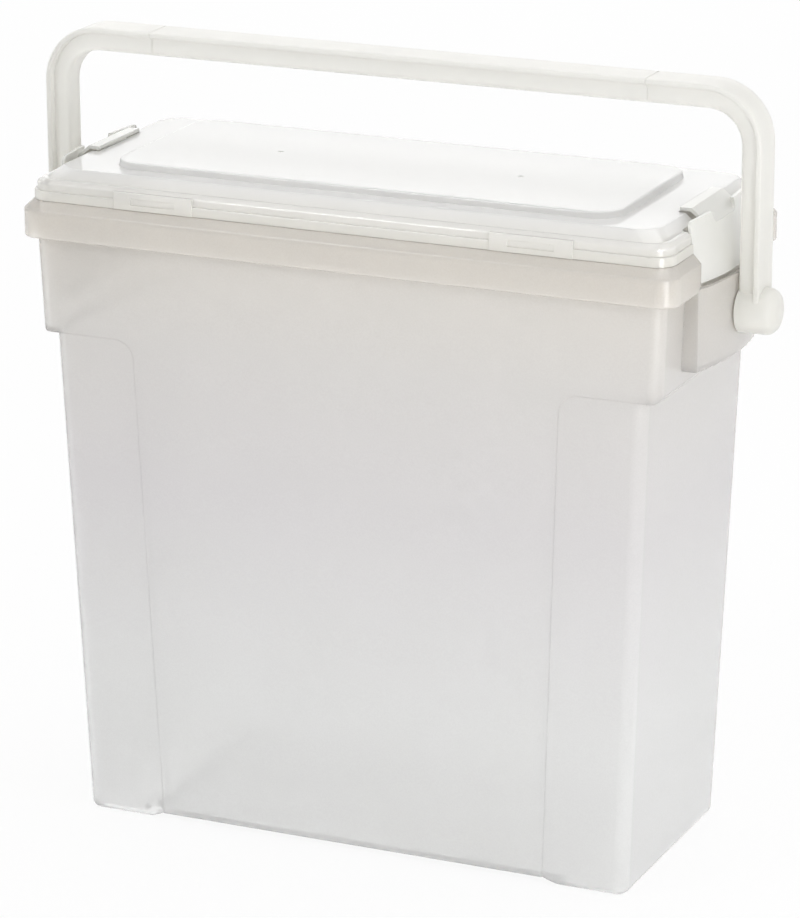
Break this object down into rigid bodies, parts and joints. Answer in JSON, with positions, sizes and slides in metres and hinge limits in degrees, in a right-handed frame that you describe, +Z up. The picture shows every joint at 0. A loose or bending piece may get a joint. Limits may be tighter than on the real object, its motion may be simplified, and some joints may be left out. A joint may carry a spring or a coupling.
{
  "type": "lidded storage box with bail handle",
  "caption": "Tall portable storage box for large flat sheets, with a lift-off lid held by end latches and a bail handle that swings over the top.",
  "frame": {"origin": "middle of the footprint, on the surface that the feet stand on", "axes": "+Z up, +X along the long side to the right seen from the front, -Y the front"},
  "size_m": [0.437, 0.1668, 0.4363],
  "materials": {
    "frosted_tub": "frosted translucent polypropylene, fine grain outside",
    "clear_lid": "clear, glossy, slightly hazy polypropylene",
    "natural_handle": "natural milky polypropylene, satin",
    "milky_latch": "milky polypropylene, half gloss"
  },
  "bodies": {
    "tub": {"tub": "frosted_tub"},
    "lid": {"lid": "clear_lid"},
    "handle": {"handle": "natural_handle"},
    "right_latch": {"right_latch": "milky_latch"},
    "left_latch": {"left_latch": "milky_latch"}
  },
  "joints": [
    {"name": "handle_swing", "type": "hinge", "parent": "tub", "child": "handle", "pos_m": [0, 0, 0.3153], "axis": [1, 0, 0], "range_deg": [-128, 128]},
    {"name": "lid_lift", "type": "slide", "parent": "tub", "child": "lid", "axis": [0, 0, 1], "range_m": [0, 0.045]},
    {"name": "right_latch_swing", "type": "hinge", "parent": "tub", "child": "right_latch", "pos_m": [0.18546, 0, 0.318], "axis": [0, 1, 0], "range_deg": [-1, 8]},
    {"name": "left_latch_swing", "type": "hinge", "parent": "tub", "child": "left_latch", "pos_m": [-0.18546, 0, 0.318], "axis": [0, -1, 0], "range_deg": [-1, 8]}
  ]
}
